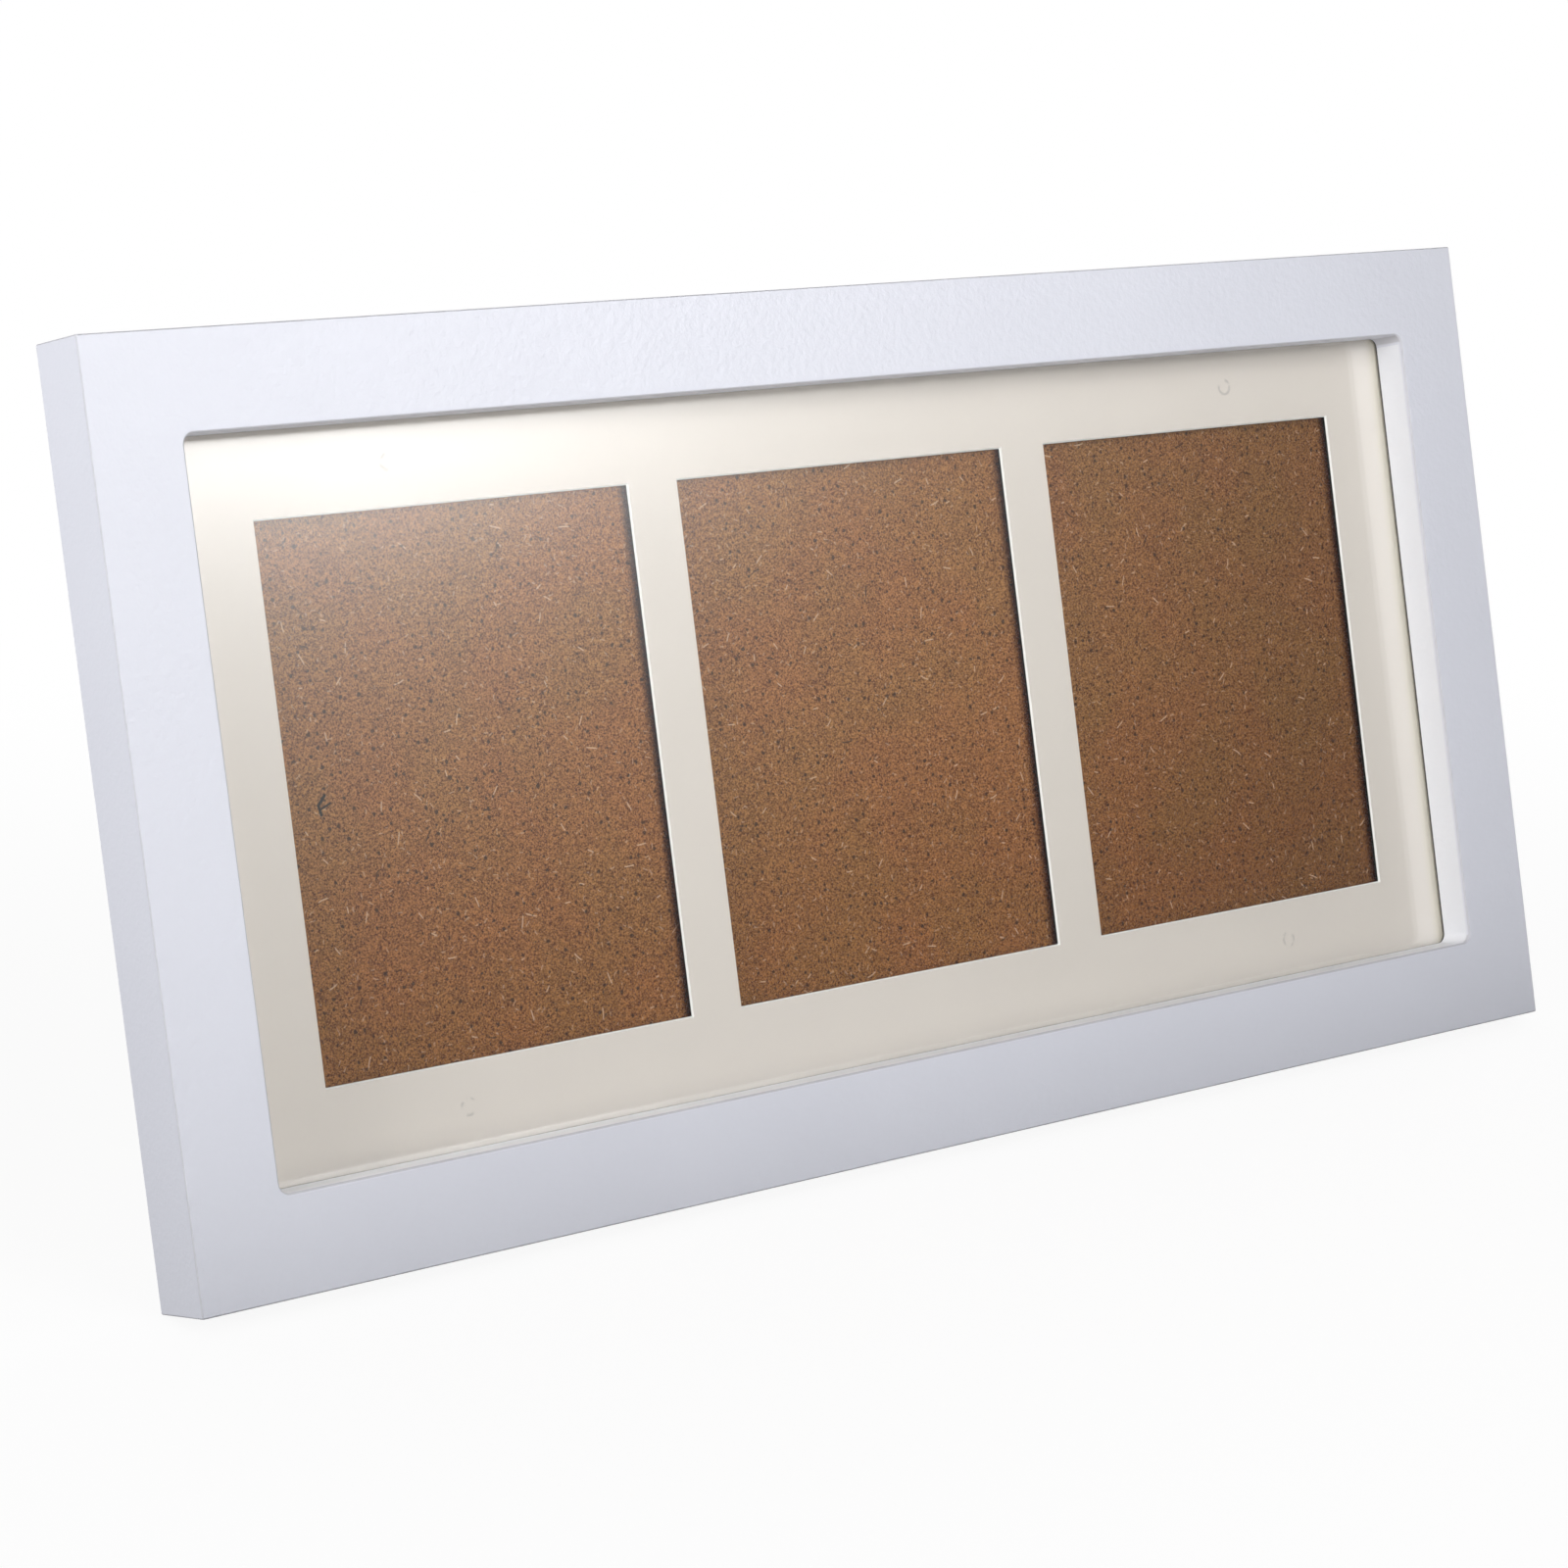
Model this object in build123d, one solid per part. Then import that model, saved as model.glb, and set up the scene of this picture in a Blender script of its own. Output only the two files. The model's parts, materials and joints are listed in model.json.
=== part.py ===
from build123d import *
import math
import os

# White three-window collage frame leaning on its easel strut.
# Millimetres and degrees. The pieces are drawn upright, with the origin at the middle of the front face:
# X to the right, Y to the back, Z up. At the end the whole frame leans back onto its strut.

# Windows of the mat and print openings of the spacer
window_count = 3
window_width = 120.3
window_height = 149.4
window_gap = 17.5
window_bevel = 0.4  # slant of the cut, seen from the front
mat_side_margin = 25.05  # opening of the frame to the outer windows
mat_top_margin = 23.3  # and above and below the windows
print_margin = 1.2  # spacer opening beyond the window, each side

# Frame body: one routed board
face_width = 27.0  # outer edge to opening
lip_depth = 11.5  # wall of the opening, front face to pane
lip_cover = 6.0  # lip over the pane's edge
cutter_radius = 3.0  # corners of the opening and of the rebate
outer_round = 0.5  # softened outer edges
opening_round = 0.7  # softened front edge of the opening
lean = 11.2  # from upright

# Layers in the rebate, front to back
rebate_clearance = 1.0  # every layer to the rebate wall
pane_thickness = 2.0
pane_gap = 0.1  # air film between pane and mat
mat_thickness = 0.6
spacer_thickness = 2.1
board_thickness = 5.0
board_set_back = 0.3  # rear face of the frame over the backing board

# Turn buttons
button_thickness = 1.2
button_pad_radius = 6.0
button_toe_radius = 4.5
button_reach = 16.0  # pivot to the middle of the toe
button_lift = 1.4  # finger edge of the toe above the flat
button_lift_run = 5.0  # length of the rise
button_inset = 8.0  # rebate wall to pivot
button_end = 79.0  # end of the rebate to the outermost button of a long rail
buttons_per_long_rail = 3

# Screws of the buttons and hangers
screw_radius = 1.6
screw_length = 12.0
screw_point = 2.4
screw_head_radius = 3.2
screw_head_height = 2.0
screw_head_rim = 0.7
screw_hole_clearance = 0.1  # pilot hole round the shank
screw_end_clearance = 0.5  # pilot hole past the point
turning_clearance = 0.4  # hole of a turning piece round the shank
recess_width = 0.9  # arms of the cross recess
recess_span = 3.6
recess_depth = 1.1

# Easel strut
strut_thickness = 3.0
strut_neck_width = 34.0
strut_foot_width = 58.0
strut_neck_margin = 4.0  # parallel neck past the clip
strut_top_round = 4.0
strut_foot_round = 7.0
strut_pivot_drop = 85.0  # frame's upper edge to the pivot
strut_opening = 22.0  # angle to the board
fold_clearance = 1.0  # folded strut over the button screws
heel_gap = 0.1  # heel to the bracket that stops it

# Steel clip on the strut's neck
clip_thickness = 0.8
clip_gap = 0.1  # clip to the neck's edges
clip_length = 18.0  # below the pivot
clip_round = 3.0
lug_radius = 2.8
lug_length = 14.0

# Hinge bracket on the backing board
bracket_thickness = 1.0
bracket_width = 62.0
bracket_height = 22.0
bracket_round = 3.0
ear_gap = 0.3  # between ear and lug
ear_radius = 3.4
ear_base = 10.0
bracket_screw_offset = 25.0
bracket_screw_radius = 1.3
bracket_screw_length = 5.0
bracket_screw_point = 1.6
bracket_screw_head_radius = 2.6
bracket_screw_head_height = 1.6
bracket_screw_head_rim = 0.6
bracket_recess_span = 2.9

# Rivets
pivot_radius = 1.2
pivot_clearance = 0.1
pivot_head_radius = 2.4
pivot_head_height = 1.0
pivot_tail_radius = 1.9
pivot_tail_height = 0.6
pivot_side_gap = 0.1  # tail to lug
tail_notch_clearance = 0.8  # neck and clip round the tail
rivet_radius = 1.3
rivet_head_radius = 2.3
rivet_head_height = 0.9
rivet_tail_radius = 2.0
rivet_tail_height = 0.6
rivet_offset = 9.0  # from the middle line
rivet_drop = 12.0  # below the pivot

# Strap hangers and D-rings
strap_thickness = 0.9
strap_width = 10.0
strap_end = 6.0  # screw to rounded end
strap_return = 9.0  # doubled part below the eye
strap_screw_gap = 0.8  # hanging ring to screw head
hanger_drop = 40.0  # frame's upper edge to eye
hanger_inset = 14.0  # frame's side to the strap's middle line
ring_wire_radius = 1.0
ring_width = 16.0  # between wire centres
ring_height = 13.0
ring_corner = 2.0
ring_clearance = 0.25  # eye round the wire

# Sizes that follow
window_pitch = window_width + window_gap
opening_width = window_count * window_pitch - window_gap + 2 * mat_side_margin
opening_height = window_height + 2 * mat_top_margin
frame_width = opening_width + 2 * face_width
frame_height = opening_height + 2 * face_width
rebate_width = opening_width + 2 * lip_cover
rebate_height = opening_height + 2 * lip_cover
layer_width = rebate_width - 2 * rebate_clearance
layer_height = rebate_height - 2 * rebate_clearance
mat_front = lip_depth + pane_thickness + pane_gap
spacer_front = mat_front + mat_thickness
board_front = spacer_front + spacer_thickness
board_rear = board_front + board_thickness
frame_depth = board_rear + board_set_back
strut_neck_length = clip_length + strut_neck_margin
strut_standoff = board_set_back + button_thickness + screw_head_height + fold_clearance + strut_thickness / 2
lug_inner = strut_neck_width / 2 + clip_gap
lug_outer = lug_inner + clip_thickness
ear_inner = lug_outer + ear_gap
ear_outer = ear_inner + bracket_thickness
eye_bore = ring_wire_radius + ring_clearance
eye_radius = eye_bore + strap_thickness
strap_screw_drop = ring_height + ring_wire_radius + strap_screw_gap + screw_head_radius
strap_length = strap_screw_drop + strap_end

# The rear lower edge is rounded, so the leaning frame sits lower by a little than a sharp edge would.
lean_sin = math.sin(math.radians(lean))
lean_cos = math.cos(math.radians(lean))
edge_drop = outer_round * (lean_sin + lean_cos - 1)

# The strut reaches from its pivot to the floor, and its heel meets the bracket at the open angle.
pivot_y = board_rear + strut_standoff
pivot_z = frame_height / 2 - strut_pivot_drop
strut_pivot_height = frame_height - strut_pivot_drop
pivot_over_floor = strut_pivot_height * lean_cos - (pivot_y - frame_depth) * lean_sin - edge_drop
strut_tilt = strut_opening - lean
strut_length = pivot_over_floor / math.cos(math.radians(strut_tilt))
foot_slant = strut_thickness / 2 * math.tan(math.radians(strut_tilt))
open_sin = math.sin(math.radians(strut_opening))
open_cos = math.cos(math.radians(strut_opening))
heel_room = strut_standoff - bracket_thickness - heel_gap - strut_thickness / 2 * open_cos
heel_length = heel_room / open_sin

# Where the turn buttons sit: name, pivot and the way the toe points
button_pitch = (rebate_width - 2 * button_end) / (buttons_per_long_rail - 1)
button_row = [button_pitch * (i - (buttons_per_long_rail - 1) / 2) for i in range(buttons_per_long_rail)]
button_column = rebate_width / 2 + button_inset
button_rail = rebate_height / 2 + button_inset
button_places = {}
for index, x in enumerate(button_row, 1):
    button_places[f"top_{index}"] = (x, button_rail, (0, 0, -1))
    button_places[f"bottom_{index}"] = (x, -button_rail, (0, 0, 1))
button_places["left"] = (-button_column, 0, (1, 0, 0))
button_places["right"] = (button_column, 0, (-1, 0, 0))

# Where the hangers sit on the short rails
hanger_x = frame_width / 2 - hanger_inset
hanger_z = frame_height / 2 - hanger_drop
hanger_places = {"left": -hanger_x, "right": hanger_x}


def upright(y):
    """Plane parallel to the front face, y behind it, seen from the front."""
    return Plane(origin=(0, y, 0), x_dir=(1, 0, 0), z_dir=(0, -1, 0))


def layer(outline, y, thickness):
    """Outline made thick towards the back, starting y behind the front face."""
    return extrude(upright(y) * outline, amount=-thickness)


def on_rear(x, z, toe=(1, 0, 0)):
    """Plane on the frame's rear face that looks backwards, with its X axis along toe."""
    return Plane(origin=(x, frame_depth, z), x_dir=toe, z_dir=(0, 1, 0))


def turned(points, crown):
    """Solid turned about Z: a straight profile, then a dome from its last point up to the crown."""
    top = (0, crown)
    profile = Polyline(*points) + TangentArc(top, points[-1], tangent=(1, 0)) + Line(top, points[0])
    return revolve(Plane.XZ * make_face(profile), Axis.Z)


def pan_screw(shank, length, point, head, head_height, rim, span):
    """Pan-head screw along Z, with the underside of its head at 0 and a cross recess."""
    points = [(0, -length), (shank, point - length), (shank, 0), (head, 0), (head, rim)]
    screw = turned(points, head_height)
    for angle in (0, 90):
        arm = Box(span, recess_width, recess_depth, align=(Align.CENTER, Align.CENTER, Align.MAX))
        screw -= Pos(0, 0, head_height) * Rot(0, 0, angle) * arm
    return screw


def rivet(shank, grip, head, head_height, tail, tail_height):
    """Rivet along Z: tail below 0, grip from 0 up, domed head above."""
    points = [(0, -tail_height), (tail, -tail_height), (tail, 0), (shank, 0), (shank, grip), (head, grip)]
    return turned(points, grip + head_height)


def hole_below(radius, depth):
    """Round hole that goes down from the plane it is placed on."""
    return Cylinder(radius, depth, align=(Align.CENTER, Align.CENTER, Align.MAX))


def hole_through(radius, wall):
    """Round hole through a wall that starts at the plane it is placed on, whichever way the wall lies."""
    return Cylinder(radius, 4 * wall)


def make_frame_body():
    """Routed board with its opening, its rear rebate and the pilot holes of the hardware."""
    body = layer(Rectangle(frame_width, frame_height), 0, frame_depth)
    body = fillet(body.edges(), outer_round)
    body -= layer(RectangleRounded(opening_width, opening_height, cutter_radius), 0, lip_depth)
    rebate = RectangleRounded(rebate_width, rebate_height, cutter_radius)
    body -= layer(rebate, lip_depth, frame_depth - lip_depth)
    front = body.faces().sort_by(Axis.Y)[0]
    body = fillet(front.inner_wires()[0].edges(), opening_round)
    hole_radius = screw_radius + screw_hole_clearance
    button_hole = screw_length - button_thickness + screw_end_clearance
    for x, z, toe in button_places.values():
        body -= on_rear(x, z) * hole_below(hole_radius, button_hole)
    hanger_hole = screw_length - strap_thickness + screw_end_clearance
    for x in hanger_places.values():
        body -= on_rear(x, hanger_z - strap_screw_drop) * hole_below(hole_radius, hanger_hole)
    return body


def make_pane():
    return layer(Rectangle(layer_width, layer_height), lip_depth, pane_thickness)


def window_places():
    """Middles of the windows, left to right."""
    return [window_pitch * (i - (window_count - 1) / 2) for i in range(window_count)]


def make_mat():
    """Card with three windows, each cut on a slant that widens towards the front."""
    mat = layer(Rectangle(layer_width, layer_height), mat_front, mat_thickness)
    front_width = window_width + 2 * window_bevel
    front_height = window_height + 2 * window_bevel
    for x in window_places():
        front = upright(mat_front) * Pos(x, 0) * Rectangle(front_width, front_height)
        rear = upright(spacer_front) * Pos(x, 0) * Rectangle(window_width, window_height)
        mat -= loft([front, rear])
    return mat


def make_spacer():
    """Card with an opening for the print behind each window."""
    spacer = layer(Rectangle(layer_width, layer_height), spacer_front, spacer_thickness)
    opening = Rectangle(window_width + 2 * print_margin, window_height + 2 * print_margin)
    for x in window_places():
        spacer -= layer(Pos(x, 0) * opening, spacer_front, spacer_thickness)
    return spacer


def bracket_screw_places():
    """Plane on the face of the bracket's plate at each of its screws."""
    y = board_rear + bracket_thickness
    return [
        Plane(origin=(x, y, pivot_z), x_dir=(1, 0, 0), z_dir=(0, 1, 0))
        for x in (-bracket_screw_offset, bracket_screw_offset)
    ]


def make_backing_board():
    """Fibreboard with blind pilot holes for the bracket's screws."""
    board = layer(Rectangle(layer_width, layer_height), board_front, board_thickness)
    hole_radius = bracket_screw_radius + screw_hole_clearance
    for place in bracket_screw_places():
        board -= place * hole_below(hole_radius, bracket_screw_length + screw_hole_clearance)
    return board


def make_turn_button():
    """Pressed steel button lying on XY, pivot at the origin, toe along X with a raised finger edge."""
    ends = Circle(button_pad_radius) + Pos(button_reach, 0) * Circle(button_toe_radius)
    outline = make_hull(ends.edges())
    tip = button_reach + button_toe_radius
    rise = tip - button_lift_run
    side = Line((-button_pad_radius, 0), (rise, 0))
    side += TangentArc((rise, 0), (tip, button_lift), tangent=(1, 0))
    side += Line((tip, button_lift), (tip, button_lift + button_thickness))
    side += TangentArc(
        (rise, button_thickness), (tip, button_lift + button_thickness), tangent=(1, 0)
    )
    side += Line((rise, button_thickness), (-button_pad_radius, button_thickness))
    side += Line((-button_pad_radius, button_thickness), (-button_pad_radius, 0))
    pressed = extrude(Plane.XZ * make_face(side), amount=button_pad_radius, both=True)
    button = pressed & extrude(outline, amount=button_lift + button_thickness)
    return button - hole_through(screw_radius + turning_clearance, button_thickness)


def make_rail_screw():
    """Screw that holds a turn button or a hanger strap on the rails."""
    return pan_screw(
        screw_radius,
        screw_length,
        screw_point,
        screw_head_radius,
        screw_head_height,
        screw_head_rim,
        recess_span,
    )


def make_button_screws():
    lifted = Pos(0, 0, button_thickness) * make_rail_screw()
    return [on_rear(x, z) * lifted for x, z, toe in button_places.values()]


def strut_place(part):
    """Puts a piece drawn about the strut's pivot in place, turned to the open angle."""
    return Pos(0, pivot_y, pivot_z) * Rot(strut_opening, 0, 0) * part


def tail_notches():
    """Room for the tails of the pivot rivets, from the lugs inwards."""
    depth = clip_gap + pivot_side_gap + pivot_tail_height + tail_notch_clearance
    notch = Cylinder(pivot_tail_radius + tail_notch_clearance, depth)
    return [Pos(x, 0, 0) * Rot(0, 90, 0) * notch for x in (depth / 2 - lug_inner, lug_inner - depth / 2)]


def rivet_holes():
    """Holes through strut and clip for the rivets that join them."""
    hole = hole_through(rivet_radius + screw_hole_clearance, strut_thickness)
    return [Pos(x, 0, -rivet_drop) * Rot(90, 0, 0) * hole for x in (-rivet_offset, rivet_offset)]


def make_strut():
    """Tapered fibreboard leaf with a parallel neck; its foot is cut level with the floor."""
    half = strut_thickness / 2
    lowest = strut_length + foot_slant
    side = Polyline(
        (-half, heel_length),
        (half, heel_length),
        (half, -lowest),
        (-half, foot_slant - strut_length),
        close=True,
    )
    neck = strut_neck_width / 2
    foot = strut_foot_width / 2
    outline = Polyline(
        (-neck, heel_length),
        (neck, heel_length),
        (neck, -strut_neck_length),
        (foot, -lowest),
        (-foot, -lowest),
        (-neck, -strut_neck_length),
        close=True,
    )
    face = make_face(outline)
    face = fillet(face.vertices().group_by(Axis.Y)[-1], strut_top_round)
    face = fillet(face.vertices().group_by(Axis.Y)[0], strut_foot_round)
    leaf = extrude(Plane.XZ * face, amount=strut_thickness, both=True)
    strut = leaf & extrude(Plane.YZ * make_face(side), amount=foot, both=True)
    for cut in tail_notches() + rivet_holes():
        strut -= cut
    return strut


def make_clip():
    """Folded steel clip: a web on the outer side of the neck and two lugs beside it."""
    outer = strut_thickness / 2
    top = heel_length - strut_top_round
    web = RectangleRounded(2 * lug_outer, top + clip_length, clip_round)
    web_face = Plane.XZ * Pos(0, (top - clip_length) / 2) * web
    clip = Pos(0, outer, 0) * extrude(web_face, amount=-clip_thickness)
    for cut in tail_notches() + rivet_holes():
        clip -= cut
    depth = lug_radius + outer + clip_thickness
    flank = Pos((outer + clip_thickness - lug_radius) / 2, -lug_length / 2) * Rectangle(depth, lug_length)
    lug_face = flank + Circle(lug_radius) - Circle(pivot_radius + pivot_clearance)
    for x in (-lug_outer, lug_inner):
        clip += Pos(x, 0, 0) * extrude(Plane.YZ * lug_face, amount=clip_thickness)
    return clip


def make_strut_rivets():
    grip = strut_thickness + clip_thickness
    one = rivet(
        rivet_radius, grip, rivet_head_radius, rivet_head_height, rivet_tail_radius, rivet_tail_height
    )
    seat = -strut_thickness / 2
    return [Pos(x, seat, -rivet_drop) * Rot(-90, 0, 0) * one for x in (-rivet_offset, rivet_offset)]


def make_bracket():
    """Pressed steel plate with two ears folded up out of it; the strut's heel stops on the plate."""
    plate = RectangleRounded(bracket_width, bracket_height, bracket_round)
    bracket = Pos(0, -strut_standoff, 0) * extrude(Plane.XZ * plate, amount=-bracket_thickness)
    base = Pos(bracket_thickness / 2 - strut_standoff, 0) * Rectangle(bracket_thickness, ear_base)
    ear_face = make_hull((Circle(ear_radius) + base).edges())
    ear_face -= Circle(pivot_radius + pivot_clearance)
    for x in (-ear_outer, ear_inner):
        bracket += Pos(x, 0, 0) * extrude(Plane.YZ * ear_face, amount=bracket_thickness)
    lance = strut_standoff + ear_radius - bracket_thickness
    window = Box(lance, 4 * bracket_thickness, ear_base)
    for x in (lance / 2 - ear_inner, ear_inner - lance / 2):
        bracket -= Pos(x, -strut_standoff, 0) * window
    hole = hole_through(bracket_screw_radius + screw_hole_clearance, bracket_thickness)
    for x in (-bracket_screw_offset, bracket_screw_offset):
        bracket -= Pos(x, -strut_standoff, 0) * Rot(90, 0, 0) * hole
    return Pos(0, pivot_y, pivot_z) * bracket


def make_bracket_screws():
    screw = pan_screw(
        bracket_screw_radius,
        bracket_screw_length,
        bracket_screw_point,
        bracket_screw_head_radius,
        bracket_screw_head_height,
        bracket_screw_head_rim,
        bracket_recess_span,
    )
    return [place * screw for place in bracket_screw_places()]


def make_pivots():
    """Rivets through ear and lug, heads outside, tails in the notches of the strut's neck."""
    grip = ear_outer - lug_inner + pivot_side_gap
    one = rivet(
        pivot_radius, grip, pivot_head_radius, pivot_head_height, pivot_tail_radius, pivot_tail_height
    )
    seat = lug_inner - pivot_side_gap
    right = Pos(seat, pivot_y, pivot_z) * Rot(0, 90, 0) * one
    left = Pos(-seat, pivot_y, pivot_z) * Rot(0, -90, 0) * one
    return [left, right]


def make_strap():
    """Steel strap folded round the ring's bar: an eye, a doubled part and a plate with a rounded end."""
    eye = Pos(eye_radius, 0) * Circle(eye_radius)
    plate = Pos(strap_thickness / 2, -strap_length / 2) * Rectangle(strap_thickness, strap_length)
    doubled = Pos(strap_thickness, -strap_return / 2) * Rectangle(2 * strap_thickness, strap_return)
    side = eye + plate + doubled - Pos(eye_radius, 0) * Circle(eye_bore)
    strip = extrude(Plane.YZ * side, amount=strap_width / 2, both=True)
    round_end = Pos(0, strap_width / 2 - strap_length) * Circle(strap_width / 2)
    straight = strap_length - strap_width / 2 + eye_radius
    flat = Pos(0, eye_radius - straight / 2) * Rectangle(strap_width, straight)
    strap = strip & extrude(Plane.XZ * (flat + round_end), amount=-3 * eye_radius)
    hole = hole_through(screw_radius + screw_hole_clearance, strap_thickness)
    return strap - Pos(0, 0, -strap_screw_drop) * Rot(90, 0, 0) * hole


def make_ring():
    """D-ring of round wire about its straight bar, hanging plumb when the frame leans."""
    half = ring_width / 2
    side = ring_height - half
    path = Line((ring_corner - half, 0), (half - ring_corner, 0))
    path += CenterArc((half - ring_corner, -ring_corner), ring_corner, 90, -90)
    path += Line((half, -ring_corner), (half, -side))
    path += CenterArc((0, -side), half, 0, -180)
    path += Line((-half, -side), (-half, -ring_corner))
    path += CenterArc((ring_corner - half, -ring_corner), ring_corner, 180, -90)
    wire = Wire((Plane.XZ * path).edges())
    section = Plane(origin=wire @ 0, z_dir=wire % 0) * Circle(ring_wire_radius)
    return Rot(lean, 0, 0) * sweep(section, path=wire)


def make_hanger_screws():
    lifted = Pos(0, 0, strap_thickness) * make_rail_screw()
    return [on_rear(x, hanger_z - strap_screw_drop) * lifted for x in hanger_places.values()]


# Every node with its solids, still upright
nodes = {
    "frame_body": [make_frame_body()],
    "glazing_pane": [make_pane()],
    "window_mat": [make_mat()],
    "print_spacer": [make_spacer()],
    "backing_board": [make_backing_board()],
    "button_screws": make_button_screws(),
    "easel_strut": [strut_place(make_strut())],
    "strut_clip": [strut_place(make_clip())],
    "strut_rivets": [strut_place(one) for one in make_strut_rivets()],
    "hinge_bracket": [make_bracket()],
    "bracket_screws": make_bracket_screws(),
    "hinge_pivots": make_pivots(),
    "hanger_screws": make_hanger_screws(),
}
turn_button = make_turn_button()
for name, (x, z, toe) in button_places.items():
    nodes[f"turn_button_{name}"] = [on_rear(x, z, toe) * turn_button]
strap = make_strap()
ring = make_ring()
for name, x in hanger_places.items():
    nodes[f"hanger_strap_{name}"] = [Pos(x, frame_depth, hanger_z) * strap]
    nodes[f"hanger_ring_{name}"] = [Pos(x, frame_depth + eye_radius, hanger_z) * ring]

# The frame leans about its rear lower edge, and the origin is the middle of the space it stands on.
stand = Pos(0, 0, -edge_drop) * Rot(-lean, 0, 0) * Pos(0, -frame_depth, frame_height / 2)
standing = {name: Compound([stand * one for one in solids]) for name, solids in nodes.items()}
boxes = [node.bounding_box() for node in standing.values()]
front = min(box.min.Y for box in boxes)
back = max(box.max.Y for box in boxes)
centre = Pos(0, -(front + back) / 2, 0)

os.makedirs("parts", exist_ok=True)
for name, node in standing.items():
    export_step(centre * node, f"parts/{name}.step")
print(len(standing), "nodes, strut length", round(strut_length, 2), "heel", round(heel_length, 2))
print("depth over the floor", round(back - front, 2), "moved by", round(-(front + back) / 2, 3))
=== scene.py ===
import json
import math
import bpy
from mathutils import Matrix, Vector


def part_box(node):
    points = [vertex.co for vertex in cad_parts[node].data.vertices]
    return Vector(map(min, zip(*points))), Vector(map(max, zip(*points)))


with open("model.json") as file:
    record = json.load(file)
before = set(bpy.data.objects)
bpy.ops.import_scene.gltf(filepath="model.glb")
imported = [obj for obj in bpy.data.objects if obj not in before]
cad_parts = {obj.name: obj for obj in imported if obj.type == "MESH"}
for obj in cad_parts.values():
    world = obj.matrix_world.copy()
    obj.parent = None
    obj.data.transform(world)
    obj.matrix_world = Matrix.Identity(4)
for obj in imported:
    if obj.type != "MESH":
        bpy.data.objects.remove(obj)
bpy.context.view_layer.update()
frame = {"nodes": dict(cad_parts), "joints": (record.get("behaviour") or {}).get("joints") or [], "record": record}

print("frame loaded,", len(frame["nodes"]), "nodes")

# The frame leans back. Its lean comes from the turn buttons' axis, its middle from the pane.
rearward = Vector(next(j["axis"] for j in frame["joints"] if j["name"].startswith("button_")))
sideways = Vector((1, 0, 0))
lean = math.atan2(-rearward.z, rearward.y)
toUpright = Matrix.Rotation(lean, 3, "X")  # turns a place on the leaning frame upright
paneLow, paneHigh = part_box("glazing_pane")
paneMiddle = (paneLow + paneHigh) / 2
millimetre = 0.001


def frontOf(node):
    # Depth of a node's foremost point, in millimetres from the pane's middle.
    places = [toUpright @ (vertex.co - paneMiddle) for vertex in frame["nodes"][node].data.vertices]
    return min(place.y for place in places) / millimetre


paneFront = frontOf("glazing_pane")
boardFront = frontOf("backing_board")


# Small helpers for node trees

def put(tree, kind, inputs=None, **settings):
    node = tree.nodes.new(kind)
    for key, value in settings.items():
        setattr(node, key, value)
    for key, value in (inputs or {}).items():
        if isinstance(value, bpy.types.NodeSocket):
            tree.links.new(value, node.inputs[key])
        else:
            node.inputs[key].default_value = value
    return node


def maths(tree, operation, *values, clamp=False):
    sockets = dict(enumerate(values))
    return put(tree, "ShaderNodeMath", sockets, operation=operation, use_clamp=clamp).outputs[0]


def product(tree, first, *others):
    for other in others:
        first = maths(tree, "MULTIPLY", first, other)
    return first


def vectors(tree, operation, *values):
    return put(tree, "ShaderNodeVectorMath", dict(enumerate(values)), operation=operation).outputs


def split(tree, place):
    return put(tree, "ShaderNodeSeparateXYZ", {0: place}).outputs


def mixed(tree, share, first, second, blend="MIX"):
    sockets = {0: share, 6: first, 7: second}
    return put(tree, "ShaderNodeMix", sockets, data_type="RGBA", blend_type=blend).outputs[2]


def ranged(tree, value, low, high, start=0.0, end=1.0, way="SMOOTHSTEP"):
    sockets = {"Value": value, "From Min": low, "From Max": high, "To Min": start, "To Max": end}
    return put(tree, "ShaderNodeMapRange", sockets, interpolation_type=way).outputs["Result"]


def noise(tree, place, size, detail=2.0, rough=0.5):
    sockets = {"Vector": place, "Scale": 1 / size, "Detail": detail, "Roughness": rough}
    return put(tree, "ShaderNodeTexNoise", sockets).outputs["Fac"]


def relief(tree, height, depth):
    return put(tree, "ShaderNodeBump", {"Height": height, "Distance": depth, "Strength": 1.0}).outputs[0]


def newGroup(name, inputs, outputs):
    tree = bpy.data.node_groups.new(name, "ShaderNodeTree")
    for socket, kind in inputs.items():
        tree.interface.new_socket(socket, in_out="INPUT", socket_type="NodeSocket" + kind)
    for socket, kind in outputs.items():
        tree.interface.new_socket(socket, in_out="OUTPUT", socket_type="NodeSocket" + kind)
    return tree, put(tree, "NodeGroupInput").outputs, put(tree, "NodeGroupOutput").inputs


def useGroup(tree, group, inputs=None):
    return put(tree, "ShaderNodeGroup", inputs, node_tree=group).outputs


def newMaterial(name):
    material = bpy.data.materials.new(name)
    material.use_nodes = True
    material.node_tree.nodes.clear()
    return material, material.node_tree


def closeMaterial(tree, shader):
    put(tree, "ShaderNodeOutputMaterial", {"Surface": shader.outputs[0]})


# Shared effects

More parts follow.
